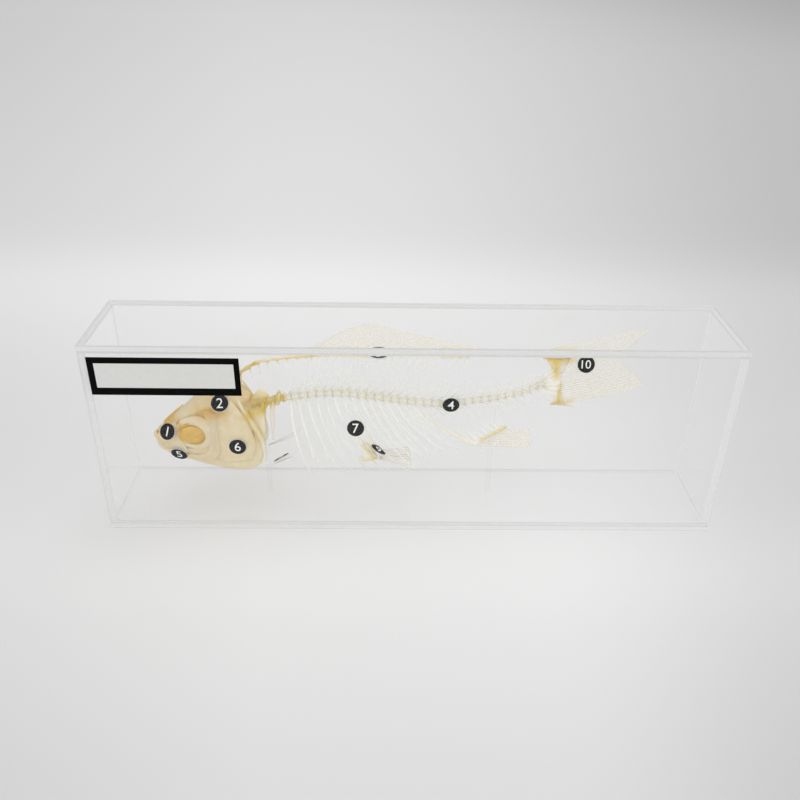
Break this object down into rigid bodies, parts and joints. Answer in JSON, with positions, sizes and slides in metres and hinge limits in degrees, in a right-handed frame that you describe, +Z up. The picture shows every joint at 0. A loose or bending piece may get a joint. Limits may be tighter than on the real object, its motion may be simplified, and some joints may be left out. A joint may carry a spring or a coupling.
{
  "type": "fish skeleton specimen",
  "caption": "Mounted skeleton of a carp-like freshwater fish in a long low clear case, with a label plate on the front and small round number discs on its parts.",
  "frame": {"origin": "middle of the footprint of the case with its label, at the underside of the base plate", "axes": "+X along the case towards the fish's tail, +Y from the labelled front towards the back, +Z up"},
  "size_m": [0.3, 0.0516, 0.1015],
  "materials": {
    "clear_acrylic": "polished clear acrylic",
    "label_card": "satin print with a black border",
    "pale_bone": "dry degreased bone, satin",
    "amber_bone": "bone with dried amber gristle, half gloss",
    "dried_fin": "dry translucent fin rays and skin",
    "dried_eye": "dried eye tissue, half gloss",
    "black_disc": "black card disc with a white number"
  },
  "bodies": {
    "root": {"anal_fin": "dried_fin", "anal_fin_bearers": "amber_bone", "branchiostegals_left": "pale_bone", "branchiostegals_right": "pale_bone", "case_back": "clear_acrylic", "case_base": "clear_acrylic", "case_front": "clear_acrylic", "case_left": "clear_acrylic", "case_right": "clear_acrylic", "case_top": "clear_acrylic", "cheek_left": "pale_bone", "cheek_right": "pale_bone", "cleithrum_left": "amber_bone", "cleithrum_right": "amber_bone", "dorsal_fin": "dried_fin", "dorsal_fin_bearers": "pale_bone", "eye_left": "dried_eye", "eye_right": "dried_eye", "eye_ring_left": "pale_bone", "eye_ring_right": "pale_bone", "hip_bone_left": "amber_bone", "hip_bone_right": "amber_bone", "interopercle_left": "pale_bone", "interopercle_right": "pale_bone", "label": "label_card", "lower_jaw": "pale_bone", "nape_ridge": "amber_bone", "number_disc_1": "black_disc", "number_disc_10": "black_disc", "number_disc_2": "black_disc", "number_disc_3": "black_disc", "number_disc_4": "black_disc", "number_disc_5": "black_disc", "number_disc_6": "black_disc", "number_disc_7": "black_disc", "number_disc_8": "black_disc", "number_disc_9": "black_disc", "opercle_left": "pale_bone", "opercle_right": "pale_bone", "pectoral_fin_left": "dried_fin", "pectoral_fin_right": "dried_fin", "pelvic_fin_left": "dried_fin", "pelvic_fin_right": "dried_fin", "preopercle_left": "pale_bone", "preopercle_right": "pale_bone", "ribs_left": "pale_bone", "ribs_right": "pale_bone", "rod_back": "clear_acrylic", "rod_front": "clear_acrylic", "skull": "pale_bone", "spine_front": "amber_bone", "spine_tail": "pale_bone", "spine_trunk": "pale_bone", "subopercle_left": "pale_bone", "subopercle_right": "pale_bone", "tail_fan": "amber_bone", "tail_fin_lower": "dried_fin", "tail_fin_upper": "dried_fin", "upper_jaw": "pale_bone"}
  },
  "joints": []
}
